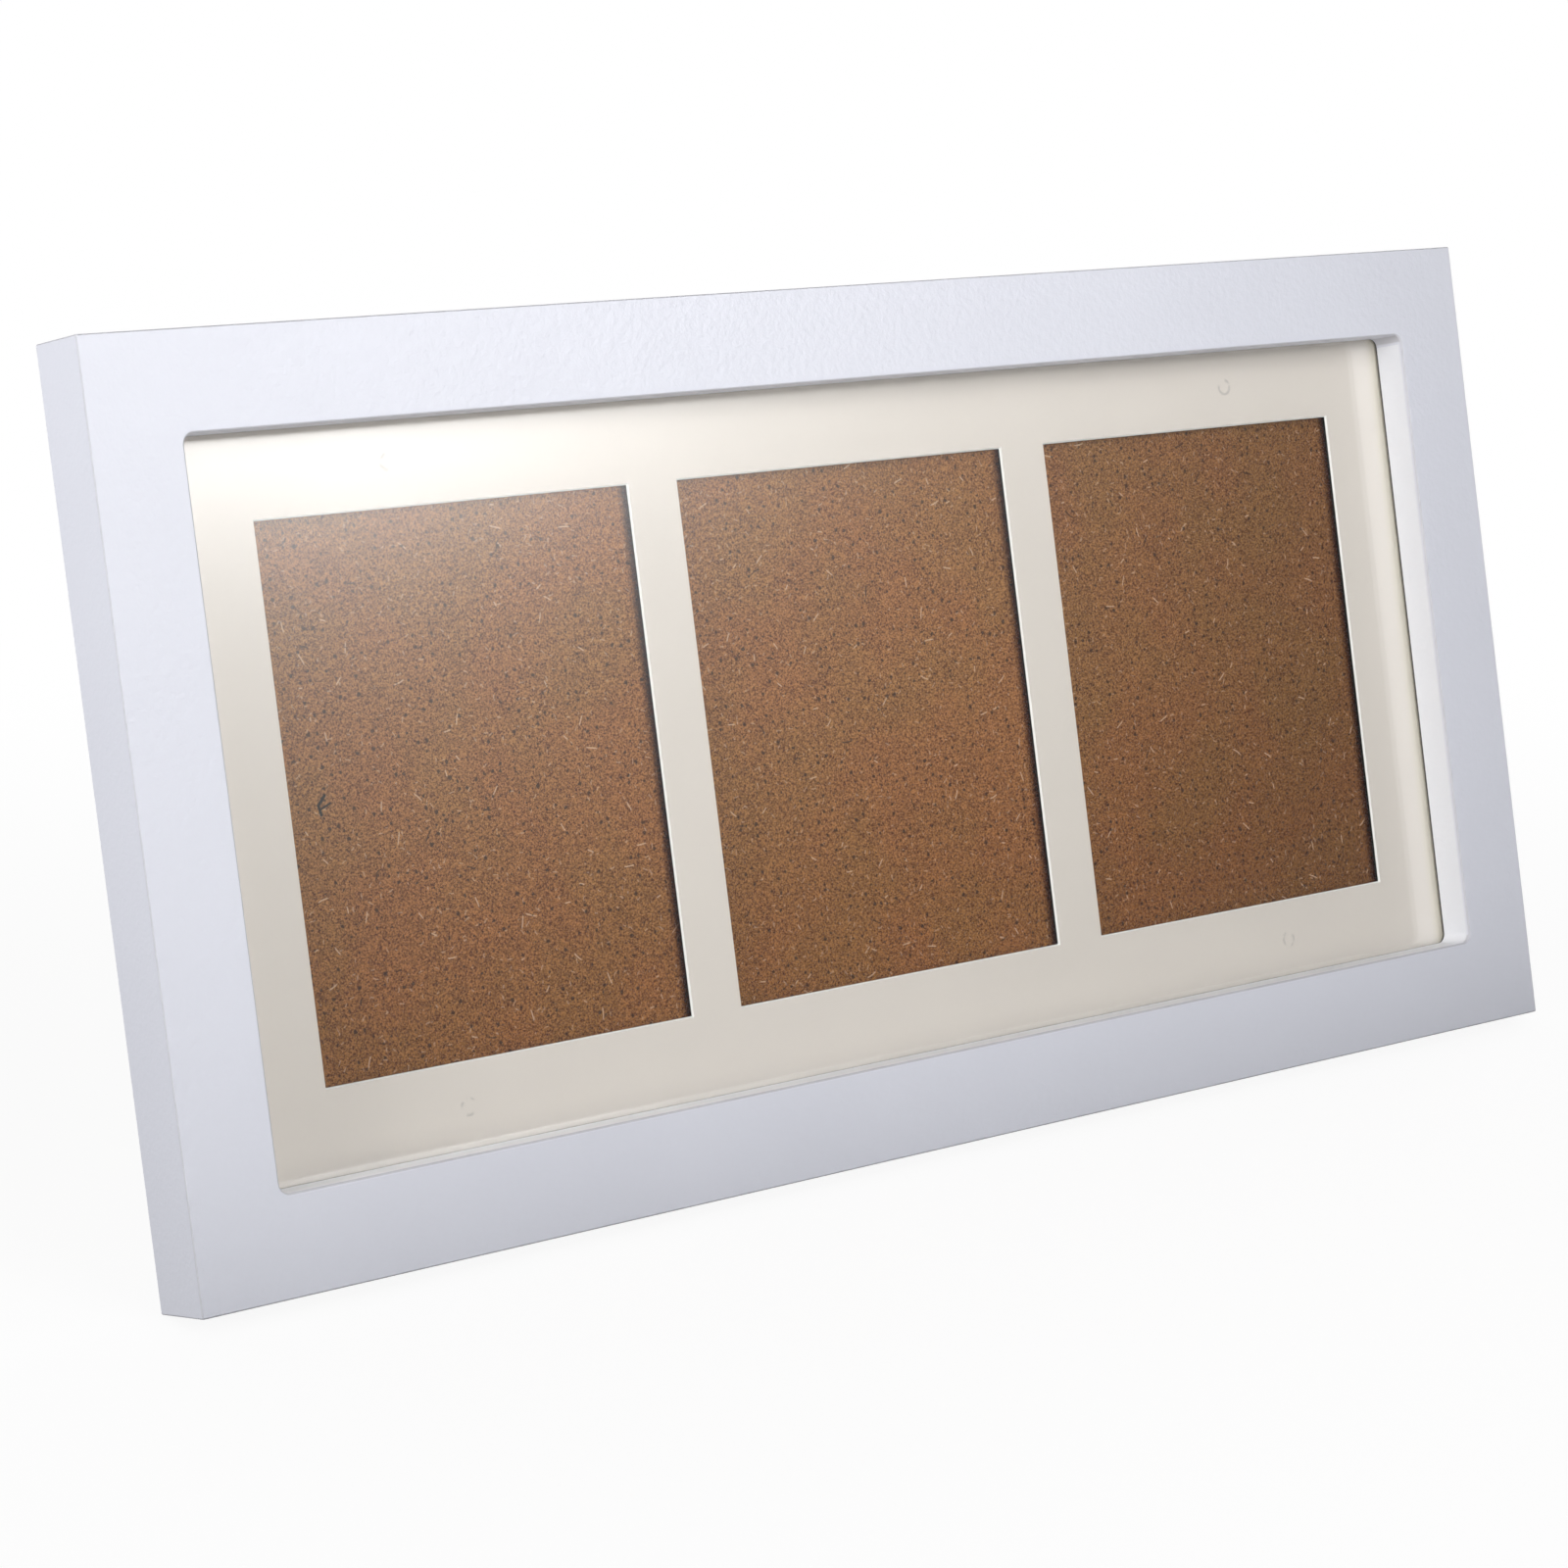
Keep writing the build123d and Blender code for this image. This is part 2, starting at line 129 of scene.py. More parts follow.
def makeUprightPlace():
    # Place on the frame in millimetres from the pane's middle: X along the width, Y upwards, Z rearward.
    tree, given, result = newGroup("uprightPlace", {}, {"Flat": "Vector"})
    objectPlace = put(tree, "ShaderNodeTexCoord").outputs["Object"]
    offset = -(toUpright @ paneMiddle) / millimetre
    scale = (1 / millimetre,) * 3
    sockets = {"Vector": objectPlace, "Location": offset, "Rotation": (lean, 0, 0), "Scale": scale}
    parts = split(tree, put(tree, "ShaderNodeMapping", sockets, vector_type="POINT").outputs[0])
    flat = put(tree, "ShaderNodeCombineXYZ", {0: parts["X"], 1: parts["Z"], 2: parts["Y"]}).outputs[0]
    tree.links.new(flat, result["Flat"])
    return tree


fibreForm = {
    "randomness": 0.9,  # of the field
    "shortest": 0.3,  # share of the full length
    "softEnd": 0.6,
    "softSide": (1.4, 0.6),
}


def makeStrayFibres():
    # One bent fibre in some cells of a random field, each turned its own way and of its own length.
    inputs = {key: "Float" for key in ("Cell", "Length", "Width", "Amount", "Curl")}
    tree, given, result = newGroup("strayFibres", {"Place": "Vector", **inputs}, {"Mask": "Float"})
    scale = maths(tree, "DIVIDE", 1.0, given["Cell"])
    sockets = {"Vector": given["Place"], "Scale": scale, "Randomness": fibreForm["randomness"]}
    cells = put(tree, "ShaderNodeTexVoronoi", sockets, voronoi_dimensions="2D").outputs
    random = put(tree, "ShaderNodeSeparateColor", {0: cells["Color"]}).outputs
    offset = vectors(tree, "SUBTRACT", given["Place"], cells["Position"])[0]
    sockets = {"Vector": offset, "Angle": product(tree, random[0], math.tau)}
    parts = split(tree, put(tree, "ShaderNodeVectorRotate", sockets, rotation_type="Z_AXIS").outputs[0])
    bend = product(tree, maths(tree, "SUBTRACT", random[1], 0.5), given["Curl"])
    bow = product(tree, parts["X"], parts["X"], bend)
    along = maths(tree, "ABSOLUTE", parts["X"])
    across = maths(tree, "ABSOLUTE", maths(tree, "SUBTRACT", parts["Y"], bow))
    share = maths(tree, "MULTIPLY_ADD", random[2], 1 - fibreForm["shortest"], fibreForm["shortest"])
    halfLength = product(tree, given["Length"], 0.5, share)
    halfWidth = product(tree, given["Width"], 0.5)
    inLength = ranged(tree, along, halfLength, product(tree, halfLength, fibreForm["softEnd"]))
    inWidth = ranged(tree, across, *(product(tree, halfWidth, soft) for soft in fibreForm["softSide"]))
    draw = put(tree, "ShaderNodeTexWhiteNoise", {"Vector": cells["Position"]}, noise_dimensions="2D")
    present = maths(tree, "LESS_THAN", draw.outputs["Value"], given["Amount"])
    tree.links.new(product(tree, inLength, inWidth, present), result["Mask"])
    return tree


speckForm = {
    "smallest": 0.25,  # share of the full radius
    "softEdge": (1.3, 0.7),
}


def makeSpecks():
    # Small round specks of uneven size.
    inputs = {"Place": "Vector", "Cell": "Float", "Radius": "Float", "Amount": "Float"}
    tree, given, result = newGroup("specks", inputs, {"Mask": "Float"})
    scale = maths(tree, "DIVIDE", 1.0, given["Cell"])
    sockets = {"Vector": given["Place"], "Scale": scale}
    cells = put(tree, "ShaderNodeTexVoronoi", sockets, voronoi_dimensions="2D").outputs
    random = put(tree, "ShaderNodeSeparateColor", {0: cells["Color"]}).outputs
    squared = product(tree, random[0], random[0])
    size = maths(tree, "MULTIPLY_ADD", squared, 1 - speckForm["smallest"], speckForm["smallest"])
    reach = product(tree, given["Radius"], size, scale)
    inside = ranged(tree, cells["Distance"], *(product(tree, reach, soft) for soft in speckForm["softEdge"]))
    present = maths(tree, "LESS_THAN", random[1], given["Amount"])
    tree.links.new(product(tree, inside, present), result["Mask"])
    return tree


arrisFacing = (0.995, 0.93)  # how squarely a flat side and a rounded edge face the nearest way


def makeArris():
    # 1 on rounded edges, where the surface faces none of the frame's own three ways.
    tree, given, result = newGroup("arris", {}, {"Mask": "Float"})
    facing = put(tree, "ShaderNodeTexCoord").outputs["Normal"]
    flat = 0.0
    for way in (sideways, rearward, rearward.cross(sideways)):
        share = vectors(tree, "DOT_PRODUCT", facing, way)["Value"]
        flat = maths(tree, "MAXIMUM", flat, maths(tree, "ABSOLUTE", share))
    tree.links.new(ranged(tree, flat, *arrisFacing), result["Mask"])
    return tree


def makeStroke():
    # Distance to the straight stroke between two places.
    inputs = {"Place": "Vector", "From": "Vector", "To": "Vector"}
    tree, given, result = newGroup("stroke", inputs, {"Distance": "Float"})
    offset = vectors(tree, "SUBTRACT", given["Place"], given["From"])[0]
    along = vectors(tree, "SUBTRACT", given["To"], given["From"])[0]
    reach = vectors(tree, "DOT_PRODUCT", offset, along)["Value"]
    whole = vectors(tree, "DOT_PRODUCT", along, along)["Value"]
    share = maths(tree, "DIVIDE", reach, whole, clamp=True)
    shares = put(tree, "ShaderNodeCombineXYZ", {0: share, 1: share, 2: share}).outputs[0]
    nearest = vectors(tree, "MULTIPLY", along, shares)[0]
    tree.links.new(vectors(tree, "DISTANCE", offset, nearest)["Value"], result["Distance"])
    return tree


uprightPlace = makeUprightPlace()
stroke = makeStroke()
arris = makeArris()
strayFibres = makeStrayFibres()
specks = makeSpecks()
print("shared effects made")


# Materials. Lengths on the surface are in millimetres, depths of relief in metres.

paintLook = {
    "colour": (0.67, 0.68, 0.748, 1),
    "shade": (0.64, 0.65, 0.717, 1),
    "shadeSize": 45.0,
    "edgeDarker": (0.50, 0.50, 0.54, 1),  # darker colour on the rounded edges
    "edgeRoughness": 0.7,
    "wall": (0.76, 0.77, 0.81, 1),  # painted light: the opening's walls are made whiter than the face
    "wallDepth": 10.8,  # in front of the pane
    "wallFade": 1.0,
    "wallTop": 95.0,  # above this, on the underside of the top lip, the paint is as on the face, without the painted light
    "wallFootShade": (0.06, 0.06, 0.055, 1),  # painted shade: a dark line where the opening's wall meets the pane
    "wallFootShadeWidth": 0.55,
    "wallFootShadeFade": 0.1,
    "roughness": (0.385, 0.415),
    "roughSize": 3.0,
    "roughNoise": (0.3, 0.7),
    "gloss": 0.32,
    "peelSize": 2.2,  # ripple of the sprayed paint
    "peelDepth": 0.00017,
}


def wallFoot(tree, place, width, fade):
    # 1 on the last stretch of the opening's walls, in front of the pane.
    parts = split(tree, place)
    reach = (paneHigh - paneLow) / millimetre / 2
    beside = maths(tree, "LESS_THAN", maths(tree, "ABSOLUTE", parts["X"]), reach.x)
    inside = maths(tree, "LESS_THAN", maths(tree, "ABSOLUTE", parts["Y"]), reach.z)
    deep = ranged(tree, parts["Z"], paneFront - width, paneFront - width + fade)
    return product(tree, deep, beside, inside)


def makePaint(look):
    material, tree = newMaterial("satinWhitePaint")
    place = useGroup(tree, uprightPlace)["Flat"]
    edge = useGroup(tree, arris)["Mask"]
    colour = mixed(tree, noise(tree, place, look["shadeSize"], detail=3), look["colour"], look["shade"])
    # The rounded edges get a darker colour and a rougher finish.
    colour = mixed(tree, edge, colour, look["edgeDarker"])
    # Painted light: the opening's walls, but not the underside of the top lip, get a whiter colour.
    belowTop = maths(tree, "LESS_THAN", split(tree, place)["Y"], look["wallTop"])
    wall = product(tree, wallFoot(tree, place, look["wallDepth"], look["wallFade"]), belowTop)
    colour = mixed(tree, wall, colour, look["wall"])
    # Painted shade along the foot of the opening's walls, where the crevice at the pane is dark.
    wallFootShade = wallFoot(tree, place, look["wallFootShadeWidth"], look["wallFootShadeFade"])
    colour = mixed(tree, wallFootShade, colour, look["wallFootShade"])
    cloud = noise(tree, place, look["roughSize"], detail=3)
    rough = ranged(tree, cloud, *look["roughNoise"], *look["roughness"])
    rough = maths(tree, "MAXIMUM", rough, product(tree, edge, look["edgeRoughness"]))
    peel = noise(tree, place, look["peelSize"], rough=0.6)
    sockets = {
        "Base Color": colour,
        "Roughness": rough,
        "Specular IOR Level": look["gloss"],
        "Normal": relief(tree, peel, look["peelDepth"]),
    }
    closeMaterial(tree, put(tree, "ShaderNodeBsdfPrincipled", sockets))
    return material


paneLook = {
    "tint": (0.985, 0.995, 0.988, 1),
    "ior": 1.5,
    "softGloss": 0.25,
    "glossIndex": 1.6,  # stands for the gloss of both faces
}


def makePane(look):
    material, tree = newMaterial("clearPane")
    sockets = {
        "Base Color": look["tint"],
        "Roughness": 0.0,
        "IOR": look["ior"],
        "Transmission Weight": 1.0,
        "Specular IOR Level": 0.0,
    }
    coat = {"Coat Weight": 1.0, "Coat Roughness": look["softGloss"], "Coat IOR": look["glossIndex"]}
    inner = put(tree, "ShaderNodeBsdfPrincipled", sockets)
    outer = put(tree, "ShaderNodeBsdfPrincipled", {**sockets, **coat})
    within = put(tree, "ShaderNodeNewGeometry").outputs["Backfacing"]
    glass = put(tree, "ShaderNodeMixShader", {0: within, 1: outer.outputs[0], 2: inner.outputs[0]})
    through = put(tree, "ShaderNodeBsdfTransparent", {"Color": look["tint"]})
    path = put(tree, "ShaderNodeLightPath").outputs
    straight = maths(tree, "MAXIMUM", path["Is Shadow Ray"], path["Is Diffuse Ray"])  # lamps count once
    sockets = {0: straight, 1: glass.outputs[0], 2: through.outputs[0]}
    closeMaterial(tree, put(tree, "ShaderNodeMixShader", sockets))
    return material


matLook = {
    "colour": (0.785, 0.713, 0.663, 1),
    "shade": (0.755, 0.683, 0.635, 1),
    "shadeSize": 30.0,
    "core": (0.93, 0.92, 0.90, 1),  # white core of the card, bare on the slanted cuts
    "coreFacing": 0.95,  # what faces forward less squarely than this is a cut
    "endTint": (0.985, 0.975, 0.86, 1),  # yellower towards the mat's two ends, beside the walls: a painted stand-in for the pane's tint seen there
    "endTintFrom": 218.0,
    "endTintTo": 224.5,
    "dentPlace": (155.0, 87.0, 0.0),  # from the middle, one faint dent in each corner
    "dentRadius": 2.2,
    "dentLine": (0.7, 0.2),  # half widths of the line with and without its soft edge
    "dentBreak": 2.6,  # size of the breaks in the line
    "dentNoise": (0.42, 0.60),
    "dentPaintedShade": (0.79, 0.79, 0.80, 1),
    "roughness": 0.85,
    "gloss": 0.25,
    "grainSize": 0.35,
    "grainDepth": 0.000002,
}


def makeDents(tree, place, look):
    # Broken rings left by something round pressed on the mat near its corners, drawn as painted shade: darker
    # rings without relief.
    offset = vectors(tree, "SUBTRACT", vectors(tree, "ABSOLUTE", place)[0], look["dentPlace"])[0]
    flat = vectors(tree, "MULTIPLY", offset, (1, 1, 0))[0]
    distance = vectors(tree, "LENGTH", flat)["Value"]
    fromRing = maths(tree, "ABSOLUTE", maths(tree, "SUBTRACT", distance, look["dentRadius"]))
    broken = ranged(tree, noise(tree, place, look["dentBreak"], detail=1), *look["dentNoise"])
    return product(tree, ranged(tree, fromRing, *look["dentLine"]), broken)


def makeMat(look):
    material, tree = newMaterial("ivoryMat")
    place = useGroup(tree, uprightPlace)["Flat"]
    colour = mixed(tree, noise(tree, place, look["shadeSize"], detail=4), look["colour"], look["shade"])
    # Painted shade of the dents.
    colour = mixed(tree, makeDents(tree, place, look), colour, look["dentPaintedShade"], "MULTIPLY")
    # Painted tint: the mat turns yellower towards its two ends, next to the walls, where the pane's tint shows.
    fromMiddle = maths(tree, "ABSOLUTE", split(tree, place)["X"])
    atEnd = ranged(tree, fromMiddle, look["endTintFrom"], look["endTintTo"])
    colour = mixed(tree, atEnd, colour, look["endTint"], "MULTIPLY")
    facing = put(tree, "ShaderNodeTexCoord").outputs["Normal"]
    square = maths(tree, "ABSOLUTE", vectors(tree, "DOT_PRODUCT", facing, rearward)["Value"])
    colour = mixed(tree, maths(tree, "LESS_THAN", square, look["coreFacing"]), colour, look["core"])
    grain = noise(tree, place, look["grainSize"], detail=3, rough=0.6)
    sockets = {
        "Base Color": colour,
        "Roughness": look["roughness"],
        "Specular IOR Level": look["gloss"],
        "Normal": relief(tree, grain, look["grainDepth"]),
    }
    closeMaterial(tree, put(tree, "ShaderNodeBsdfPrincipled", sockets))
    return material


# The spacer card behind the mat is made near-black, as painted shade for the dark gap seen under the mat's window
# edges.
cardLook = {
    "colour": (0.010, 0.008, 0.007, 1),
    "shade": (0.006, 0.005, 0.004, 1),
    "grainSize": 0.5,
    "fibre": (0.04, 0.03, 0.025, 1),
    "fibres": {"Cell": 4.0, "Length": 3.0, "Width": 0.2, "Amount": 0.5, "Curl": 0.4},
    "fibreShare": 0.4,
    "roughness": 0.9,
    "gloss": 0.1,
}


def makeCard(look):
    material, tree = newMaterial("darkCard")
    place = useGroup(tree, uprightPlace)["Flat"]
    grain = noise(tree, place, look["grainSize"], detail=4, rough=0.65)
    colour = mixed(tree, grain, look["colour"], look["shade"])
    fibres = useGroup(tree, strayFibres, {"Place": place, **look["fibres"]})["Mask"]
    colour = mixed(tree, product(tree, fibres, look["fibreShare"]), colour, look["fibre"])
    sockets = {"Base Color": colour, "Roughness": look["roughness"], "Specular IOR Level": look["gloss"]}
    closeMaterial(tree, put(tree, "ShaderNodeBsdfPrincipled", sockets))
    return material


boardLook = {
    "pale": (0.46, 0.208, 0.068, 1),
    "dark": (0.055, 0.008, 0.001, 1),
    "backPaleLit": (0.50, 0.30, 0.155, 1),  # the back gets paler colours than the front, as painted light; the front's colours sit darker under the pane's glossy veil
    "backDarkLit": (0.13, 0.06, 0.025, 1),
    "frontSkin": 0.5,  # depth that counts as the front
    "grainSize": 0.5,
    "grainSpread": 0.18,
    "olive": (0.98, 1.02, 0.97, 1),  # soft blotches
    "reddish": (1.03, 0.975, 0.98, 1),
    "blotchSize": 36.0,
    "blotchNoise": (0.35, 0.65),
    "rightFrom": 30.0,  # the front darkens towards its right end; towards its foot it darkens and warms as painted shade
    "rightTo": 195.0,
    "rightEnd": (0.72, 0.72, 0.72, 1),
    "footFrom": 15.0,
    "footTo": -75.0,
    "foot": (0.88, 0.82, 0.72, 1),
    "ragScale": 1.1,  # uneven outlines of specks and fibres, waves in a millimetre
    "ragReach": 0.9,
    "fibre": (0.66, 0.44, 0.28, 1),
    "fibreShare": 0.7,
    "shortShare": 0.6,
    "shortFibres": {"Cell": 3.0, "Length": 2.2, "Width": 0.34, "Amount": 0.35, "Curl": 0.3},
    "longFibres": {"Cell": 9.0, "Length": 4.6, "Width": 0.36, "Amount": 0.30, "Curl": 0.15},
    "darkFibres": {"Cell": 17.0, "Length": 5.0, "Width": 0.40, "Amount": 0.30, "Curl": 0.3},
    "darkShift": (41.0, 17.0, 0.0),  # dark fibres lie elsewhere than pale ones
    "spots": {"Cell": 2.8, "Radius": 0.6, "Amount": 0.6},
    "speck": (0.030, 0.012, 0.005, 1),
    "speckShare": (0.5, 0.9),  # on the back and on the front
    "strand": [(-185.8, 1.2), (-188.0, -1.2), (-187.5, -3.8)],  # one dark branched strand in the left window
    "strandWidth": 0.62,
    "branch": [(-187.5, -2.3), (-184.3, -1.0)],
    "branchWidth": 0.40,
    "strandColour": (0.006, 0.005, 0.004, 1),
    "strandCore": 0.4,  # share of the width without soft edges
    "edgeShade": (0.20, 0.09, 0.06, 1),  # next to the mat's windows, where little light reaches
    "edgeReach": (1.0, 2.6),  # beyond and within a window's right edge
    "windowWidth": 120.3,
    "windowStep": 137.8,
    "roughness": 0.75,
    "gloss": 0.15,
    "relief": 0.00003,
}
# The strut's board is paler still than the back of the backing board.
strutLook = {
    **boardLook,
    "backPaleLit": (0.57, 0.37, 0.21, 1),
    "backDarkLit": (0.17, 0.085, 0.04, 1),
}


def nearWindowEdge(tree, place, look):
    # 1 under the right edges of the mat's windows, fading out within each window.
    half = look["windowStep"] / 2
    fromMiddle = maths(tree, "WRAP", split(tree, place)["X"], half, -half)
    within = maths(tree, "SUBTRACT", look["windowWidth"] / 2, fromMiddle)
    beyond, inside = look["edgeReach"]
    return ranged(tree, within, inside, -beyond)


def addFibres(tree, place, front, colour, look):
    # Pale fibres first, then dark fibres and specks over them. The pale ones also stand up in the relief.
    sockets = {"Vector": place, "Scale": look["ragScale"], "Detail": 1.0}
    uneven = put(tree, "ShaderNodeTexNoise", sockets).outputs["Color"]
    ragged = vectors(tree, "MULTIPLY_ADD", uneven, (look["ragReach"],) * 3, place)[0]
    shifted = vectors(tree, "ADD", ragged, look["darkShift"])[0]
    shortFibres = useGroup(tree, strayFibres, {"Place": ragged, **look["shortFibres"]})["Mask"]
    longFibres = useGroup(tree, strayFibres, {"Place": place, **look["longFibres"]})["Mask"]
    darkFibres = useGroup(tree, strayFibres, {"Place": shifted, **look["darkFibres"]})["Mask"]
    spots = useGroup(tree, specks, {"Place": ragged, **look["spots"]})["Mask"]
    paleFibres = maths(tree, "MAXIMUM", product(tree, shortFibres, look["shortShare"]), longFibres)
    darkMarks = maths(tree, "MAXIMUM", darkFibres, spots)
    colour = mixed(tree, product(tree, paleFibres, look["fibreShare"]), colour, look["fibre"])
    speckShare = ranged(tree, front, 0, 1, *look["speckShare"])
    return mixed(tree, product(tree, darkMarks, speckShare), colour, look["speck"]), paleFibres


def addStrand(tree, place, front, colour, look):
    plane = vectors(tree, "MULTIPLY", place, (1, 1, 0))[0]
    for line, width in (("strand", look["strandWidth"]), ("branch", look["branchWidth"])):
        for start, end in zip(look[line], look[line][1:]):
            sockets = {"Place": plane, "From": (*start, 0), "To": (*end, 0)}
            distance = useGroup(tree, stroke, sockets)["Distance"]
            onStroke = ranged(tree, distance, width, width * look["strandCore"])
            colour = mixed(tree, product(tree, onStroke, front), colour, look["strandColour"])
    return colour


def makeBoard(name, look):
    material, tree = newMaterial(name)
    place = useGroup(tree, uprightPlace)["Flat"]
    parts = split(tree, place)
    front = maths(tree, "LESS_THAN", parts["Z"], boardFront + look["frontSkin"])

    # Grain and soft blotches
    grain = noise(tree, place, look["grainSize"], rough=0.6)
    spread = look["grainSpread"]
    share = ranged(tree, grain, 0.5 - spread, 0.5 + spread, way="LINEAR")
    # The back gets paler colours than the front: painted light.
    dark = mixed(tree, front, look["backDarkLit"], look["dark"])
    pale = mixed(tree, front, look["backPaleLit"], look["pale"])
    colour = mixed(tree, share, dark, pale)
    blotch = ranged(tree, noise(tree, place, look["blotchSize"]), *look["blotchNoise"])
    tint = mixed(tree, blotch, look["olive"], look["reddish"])
    colour = mixed(tree, 1.0, colour, tint, "MULTIPLY")
    toRight = ranged(tree, parts["X"], look["rightFrom"], look["rightTo"])
    toFoot = ranged(tree, parts["Y"], look["footFrom"], look["footTo"])
    colour = mixed(tree, product(tree, toRight, front), colour, look["rightEnd"], "MULTIPLY")
    # Painted shade: the front darkens and warms towards its foot.
    colour = mixed(tree, product(tree, toFoot, front), colour, look["foot"], "MULTIPLY")

    colour, paleFibres = addFibres(tree, place, front, colour, look)
    colour = addStrand(tree, place, front, colour, look)
    nearEdge = product(tree, nearWindowEdge(tree, place, look), front)
    colour = mixed(tree, nearEdge, colour, look["edgeShade"], "MULTIPLY")
    sockets = {
        "Base Color": colour,
        "Roughness": look["roughness"],
        "Specular IOR Level": look["gloss"],
        "Normal": relief(tree, maths(tree, "ADD", grain, paleFibres), look["relief"]),
    }
    closeMaterial(tree, put(tree, "ShaderNodeBsdfPrincipled", sockets))
    return material


zincLook = {
    "colour": (0.50, 0.51, 0.53, 1),
    "stain": (0.40, 0.39, 0.35, 1),
    "stainSize": 5.0,
    "stainNoise": (0.45, 0.75),
    "roughness": (0.26, 0.44),
    "roughNoise": (0.4, 1.1),
    "lineSize": 0.6,  # fine brushed lines
    "lineStretch": (0.05, 2.2, 1.0),
    "lineShare": 0.5,
    "lineDepth": 0.000006,
}


def makeZinc(look):
    material, tree = newMaterial("zincPlate")
    place = useGroup(tree, uprightPlace)["Flat"]
    cloud = noise(tree, place, look["stainSize"], detail=4, rough=0.6)
    stretched = put(tree, "ShaderNodeMapping", {"Vector": place, "Scale": look["lineStretch"]}).outputs[0]
    lines = noise(tree, stretched, look["lineSize"], detail=3, rough=0.7)
    uneven = maths(tree, "ADD", cloud, product(tree, lines, look["lineShare"]))
    sockets = {
        "Base Color": mixed(tree, ranged(tree, cloud, *look["stainNoise"]), look["colour"], look["stain"]),
        "Metallic": 1.0,
        "Roughness": ranged(tree, uneven, *look["roughNoise"], *look["roughness"]),
        "Normal": relief(tree, lines, look["lineDepth"]),
    }
    closeMaterial(tree, put(tree, "ShaderNodeBsdfPrincipled", sockets))
    return material


finishes = {
    "white_paint": makePaint(paintLook),
    "clear_pane": makePane(paneLook),
    "ivory_mat": makeMat(matLook),
    "dark_card": makeCard(cardLook),
    "fibreboard": makeBoard("bareFibreboard", boardLook),
    "strut_board": makeBoard("strutFibreboard", strutLook),
    "zinc_steel": makeZinc(zincLook),
}
for part in frame["record"]["subparts"]:
    node = frame["nodes"][part["node"]]
    node.data.materials.clear()
    node.data.materials.append(finishes[part["material_slot"]])
print("finishes on all nodes")


# Camera at the photograph's angle

cameraLook = {
    "place": (-0.75317, -0.91856, 0.34209),
    "turn": (78.658, 0.051, -38.349),  # degrees
    "lens": 94.903,
    "sensor": 36.0,
    "farthest": 100.0,
}


def makeCamera():
    bpy.ops.object.select_all(action="DESELECT")
    turn = [math.radians(angle) for angle in cameraLook["turn"]]
    bpy.ops.object.camera_add(location=cameraLook["place"], rotation=turn)
    camera = bpy.context.object
    camera.data.lens = cameraLook["lens"]
    camera.data.sensor_width = cameraLook["sensor"]
    camera.data.clip_end = cameraLook["farthest"]
    bpy.context.scene.camera = camera


makeCamera()
print("camera set")


# Floor, world, flag and lamps

white = (1, 1, 1, 1)
black = (0, 0, 0, 1)


def seenDirectly(tree):
    # 1 for what the lens sees, straight or by glass and gloss, 0 once light has bounced off a matt surface.
    path = put(tree, "ShaderNodeLightPath").outputs
    seen = maths(tree, "MAXIMUM", path["Is Camera Ray"], path["Is Glossy Ray"])
    seen = maths(tree, "MAXIMUM", seen, path["Is Transmission Ray"])
    return product(tree, seen, maths(tree, "LESS_THAN", path["Diffuse Depth"], 1))


floorLook = {
    "size": 60.0,
    "colour": (0.15, 0.15, 0.15, 1),
    "seenColour": (0.8, 0.8, 0.8, 1),
    "nearShare": 0.92,  # share of plain white around the object, where the floor shows its shadow
    "near": 0.25,
    "far": 1.0,
}


def makeFloor():
    bpy.ops.object.select_all(action="DESELECT")
    bpy.ops.mesh.primitive_plane_add(size=floorLook["size"])
    floor = bpy.context.object
    floor.name = "studioFloor"
    material, tree = newMaterial("studioFloor")
    seen = seenDirectly(tree)
    colour = mixed(tree, seen, floorLook["colour"], floorLook["seenColour"])
    matt = put(tree, "ShaderNodeBsdfDiffuse", {"Color": colour})
    glow = put(tree, "ShaderNodeEmission", {"Color": white, "Strength": 1.0})
    distance = vectors(tree, "LENGTH", put(tree, "ShaderNodeTexCoord").outputs["Object"])["Value"]
    share = ranged(tree, distance, floorLook["near"], floorLook["far"], floorLook["nearShare"], 1.0)
    sockets = {0: product(tree, share, seen), 1: matt.outputs[0], 2: glow.outputs[0]}
    closeMaterial(tree, put(tree, "ShaderNodeMixShader", sockets))
    floor.data.materials.append(material)


worldLook = {"fill": (0.02, 0.02, 0.02, 1)}


def makeWorld():
    world = bpy.data.worlds.new("studioWorld")
    world.use_nodes = True
    tree = world.node_tree
    tree.nodes.clear()
    fill = put(tree, "ShaderNodeBackground", {"Color": worldLook["fill"], "Strength": 1.0})
    glow = put(tree, "ShaderNodeBackground", {"Color": white, "Strength": 1.0})
    sockets = {0: seenDirectly(tree), 1: fill.outputs[0], 2: glow.outputs[0]}
    shader = put(tree, "ShaderNodeMixShader", sockets)
    put(tree, "ShaderNodeOutputWorld", {"Surface": shader.outputs[0]})
    bpy.context.scene.world = world


# A black flag stands in front, out of the lens's sight, so that the pane mirrors it and stays clear.
flagLook = {"middle": (0.3, -1.6, 0.7), "size": (5.0, 1.4)}


def makeFlag():
    bpy.ops.object.select_all(action="DESELECT")
    upright = (math.radians(90), 0, 0)
    bpy.ops.mesh.primitive_plane_add(size=1, location=flagLook["middle"], rotation=upright)
    flag = bpy.context.object
    flag.name = "mirrorFlag"
    flag.scale = (*flagLook["size"], 1)
    bpy.ops.object.transform_apply(location=False, rotation=False, scale=True)
    material, tree = newMaterial("mirrorFlag")
    closeMaterial(tree, put(tree, "ShaderNodeBsdfDiffuse", {"Color": black}))
    flag.data.materials.append(material)
    flag.visible_camera = False
    flag.visible_diffuse = False
    flag.visible_shadow = False


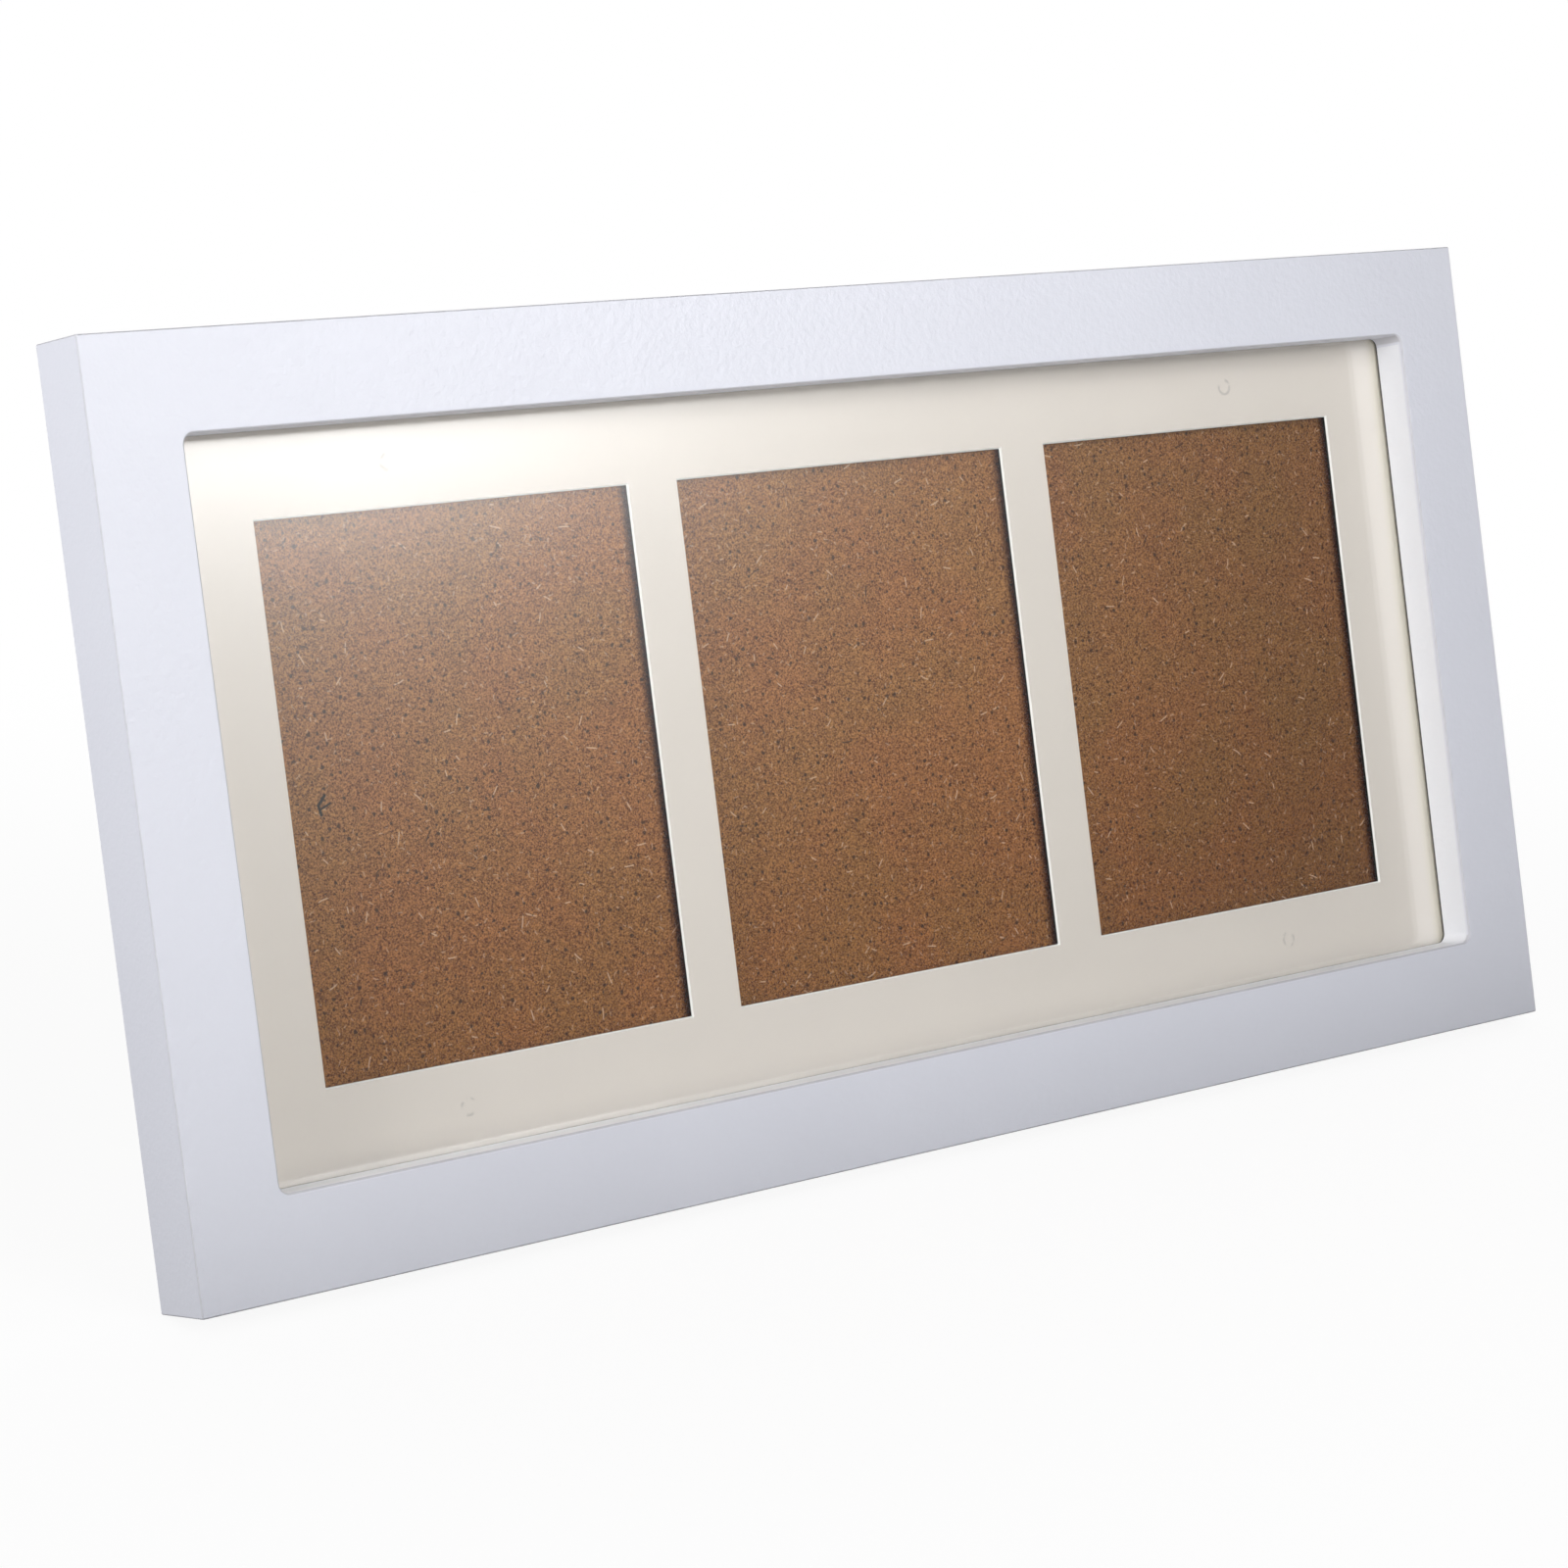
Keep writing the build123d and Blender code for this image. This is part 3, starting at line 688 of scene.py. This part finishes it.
# The veil lamp only feeds the soft gloss of the pane and the paint. The bounce lamp lies on the table and
# stands for the light that a white table top throws up. It and the lamp behind only light matt surfaces.
lamps = {
    "veil": {"place": (0.79, -1.45, 0.787), "aim": (0, 0, 0.13), "size": (0.4, 0.2), "power": 15.0},
    "front": {"place": (-0.18, -1.10, 0.35), "aim": (-0.05, 0, 0.13), "size": (0.5, 0.5), "power": 3.15},
    "high": {"place": (-0.10, -0.70, 0.55), "aim": (-0.05, 0, 0.20), "size": (0.4, 0.4), "power": 2.4},
    "overLeft": {"place": (-0.14, -0.35, 0.52), "aim": (-0.10, 0, 0.20), "size": (0.3, 0.3), "power": 0.24},
    "overRight": {"place": (0.20, -0.35, 0.48), "aim": (0.15, 0, 0.22), "size": (0.3, 0.3), "power": 0.50},
    "bounce": {"place": (-0.32, -0.50, 0.005), "aim": (-0.32, -0.50, 1.0), "size": (1.4, 0.8), "power": 2.1},
    "left": {"place": (-1.95, -0.34, 0.40), "aim": (-0.25, 0, 0.25), "size": (0.5, 0.5), "power": 18.0},
    "side": {"place": (-0.50, -0.03, 0.32), "aim": (-0.25, 0, 0.16), "size": (0.25, 0.25), "power": 0.40},
    "right": {"place": (1.50, 0.50, 0.55), "aim": (0.20, 0, 0.12), "size": (0.6, 0.6), "power": 10.0},
    "behind": {"place": (0.30, 1.25, 0.48), "aim": (0, 0, 0.12), "size": (2.2, 0.9), "power": 16.0},
}
glossOnly = {"veil"}
mattOnly = {"bounce", "behind"}


def makeLamps():
    for name, lamp in lamps.items():
        bpy.ops.object.select_all(action="DESELECT")
        bpy.ops.object.light_add(type="AREA", location=lamp["place"])
        light = bpy.context.object
        light.name = name + "Lamp"
        beam = Vector(lamp["aim"]) - Vector(lamp["place"])
        light.rotation_euler = beam.to_track_quat("-Z", "Y").to_euler()
        light.data.shape = "RECTANGLE"
        light.data.size, light.data.size_y = lamp["size"]
        light.data.energy = lamp["power"]
        light.visible_camera = False
        light.visible_diffuse = name not in glossOnly
        light.visible_glossy = name not in mattOnly


makeFloor()
makeWorld()
makeFlag()
makeLamps()
bpy.context.scene.view_settings.view_transform = "Standard"
print("studio lit")
